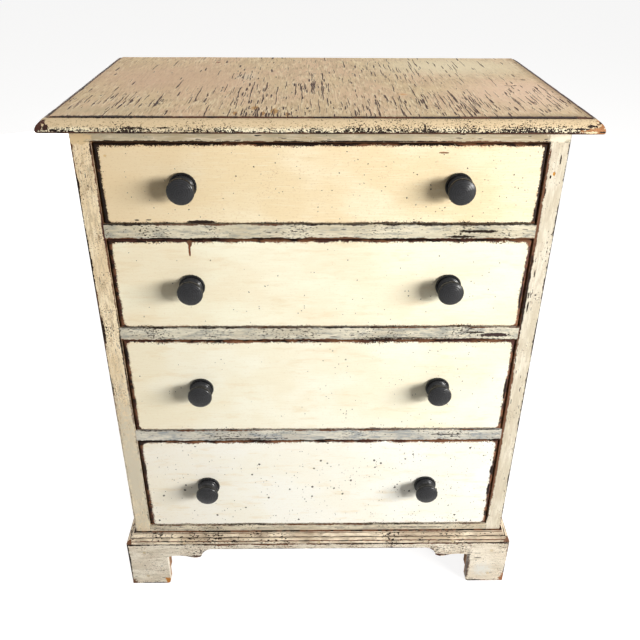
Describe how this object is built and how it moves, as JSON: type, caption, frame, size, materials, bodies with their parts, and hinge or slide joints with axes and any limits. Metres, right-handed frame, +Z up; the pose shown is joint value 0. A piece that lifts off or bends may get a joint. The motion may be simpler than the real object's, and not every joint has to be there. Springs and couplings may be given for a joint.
{
  "type": "miniature chest of drawers",
  "caption": "Small free-standing chest of graduated sliding drawers with turned knobs, a moulded overhanging top, a planted base moulding and a shaped bracket plinth.",
  "frame": {"origin": "on the floor under the middle of the chest's bounding box", "axes": "+X to the right of someone facing the drawers, +Y from the drawer fronts to the back, +Z up; drawers pull out along -Y"},
  "size_m": [0.362, 0.217, 0.433],
  "materials": {
    "top_paint": "old tan milk paint over pine, cracked front to back and worn at the edges",
    "case_paint": "old cream paint over pine, greyed, stippled with chips and worn brown at the edges",
    "drawer_paint": "pale cream paint over pine, smooth, worn dark at its rounded edges",
    "bare_pine": "unpainted aged pine, planed",
    "knob_paint": "turned hardwood, charcoal black, satin",
    "nail_iron": "dark rusted cut nails and pins",
    "screw_steel": "dull plain wood screws"
  },
  "bodies": {
    "case": {"top_board": "top_paint", "side_left": "case_paint", "side_right": "case_paint", "top_rail": "case_paint", "divider_rail_1": "case_paint", "divider_rail_2": "case_paint", "divider_rail_3": "case_paint", "bottom_rail": "case_paint", "back_board_1": "bare_pine", "back_board_2": "bare_pine", "back_board_3": "bare_pine", "bottom_board": "bare_pine", "top_cleats": "bare_pine", "runners_1": "bare_pine", "runners_2": "bare_pine", "runners_3": "bare_pine", "runners_4": "bare_pine", "drawer_stops": "bare_pine", "base_moulding_front": "case_paint", "base_moulding_left": "case_paint", "base_moulding_right": "case_paint", "base_front": "case_paint", "base_left": "case_paint", "base_right": "case_paint", "corner_blocks": "bare_pine", "case_nails": "nail_iron", "top_screws": "screw_steel"},
    "drawer_1": {"drawer_1_front": "drawer_paint", "drawer_1_side_left": "bare_pine", "drawer_1_side_right": "bare_pine", "drawer_1_back": "bare_pine", "drawer_1_bottom": "bare_pine", "drawer_1_knob_left": "knob_paint", "drawer_1_knob_right": "knob_paint", "drawer_1_nails": "nail_iron"},
    "drawer_2": {"drawer_2_front": "drawer_paint", "drawer_2_side_left": "bare_pine", "drawer_2_side_right": "bare_pine", "drawer_2_back": "bare_pine", "drawer_2_bottom": "bare_pine", "drawer_2_knob_left": "knob_paint", "drawer_2_knob_right": "knob_paint", "drawer_2_nails": "nail_iron"},
    "drawer_3": {"drawer_3_front": "drawer_paint", "drawer_3_side_left": "bare_pine", "drawer_3_side_right": "bare_pine", "drawer_3_back": "bare_pine", "drawer_3_bottom": "bare_pine", "drawer_3_knob_left": "knob_paint", "drawer_3_knob_right": "knob_paint", "drawer_3_nails": "nail_iron"},
    "drawer_4": {"drawer_4_front": "drawer_paint", "drawer_4_side_left": "bare_pine", "drawer_4_side_right": "bare_pine", "drawer_4_back": "bare_pine", "drawer_4_bottom": "bare_pine", "drawer_4_knob_left": "knob_paint", "drawer_4_knob_right": "knob_paint", "drawer_4_nails": "nail_iron"}
  },
  "joints": [
    {"name": "drawer_1_slide", "type": "slide", "parent": "case", "child": "drawer_1", "axis": [0, -1, 0], "range_m": [0, 0.14]},
    {"name": "drawer_2_slide", "type": "slide", "parent": "case", "child": "drawer_2", "axis": [0, -1, 0], "range_m": [0, 0.14]},
    {"name": "drawer_3_slide", "type": "slide", "parent": "case", "child": "drawer_3", "axis": [0, -1, 0], "range_m": [0, 0.14]},
    {"name": "drawer_4_slide", "type": "slide", "parent": "case", "child": "drawer_4", "axis": [0, -1, 0], "range_m": [0, 0.14]}
  ]
}
